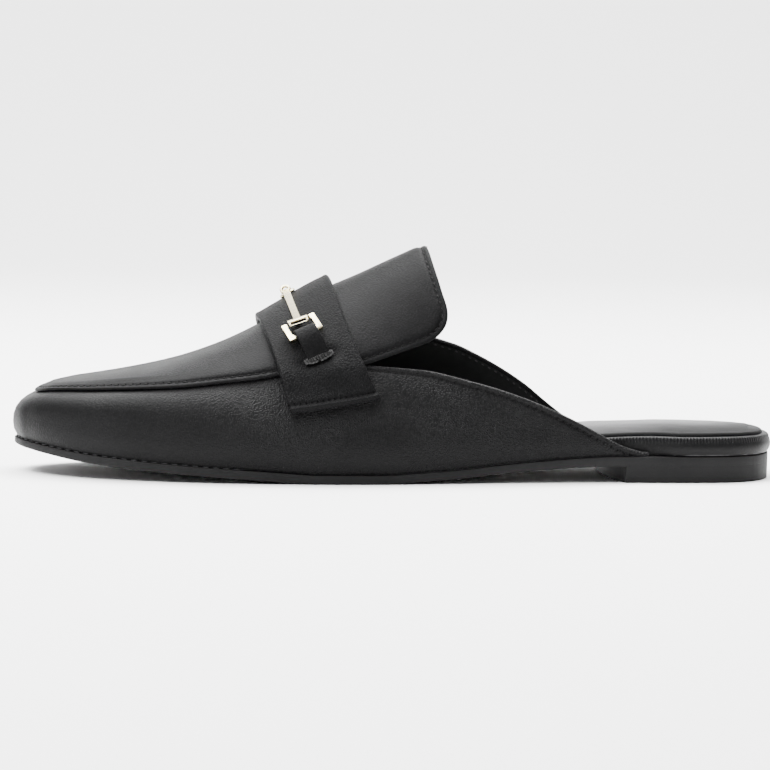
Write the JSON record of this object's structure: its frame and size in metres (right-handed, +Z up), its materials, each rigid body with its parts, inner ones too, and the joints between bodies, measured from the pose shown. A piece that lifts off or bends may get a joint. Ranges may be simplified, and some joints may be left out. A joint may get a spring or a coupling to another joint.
{
  "type": "flat mule",
  "caption": "Backless flat leather shoe with an apron front, a free tongue, a wide saddle strap and a linked metal bit across the instep.",
  "frame": {"origin": "on the floor, under the middle of the whole shoe", "axes": "+Z up from the floor, +X from the toe to the heel, +Y towards the inner side of the left foot"},
  "size_m": [0.2564, 0.0845, 0.0771],
  "materials": {
    "upper_leather": "fine milled grain, soft sheen",
    "apron_leather": "smooth fine grain, soft sheen",
    "strap_leather": "fine milled grain, soft sheen",
    "footbed_leather": "fine grain, satin",
    "lining_leather": "smooth, glossy at a low angle",
    "sole_rubber": "matte",
    "bit_metal": "polished pale gold plate"
  },
  "bodies": {
    "root": {"outsole": "sole_rubber", "heel_block": "sole_rubber", "footbed": "footbed_leather", "sock_lining": "lining_leather", "upper": "upper_leather", "apron": "apron_leather", "saddle_strap": "strap_leather", "bit_outer": "bit_metal", "bit_inner": "bit_metal", "ring_outer": "bit_metal", "ring_inner": "bit_metal", "tab_outer": "strap_leather", "tab_inner": "strap_leather"}
  },
  "joints": []
}
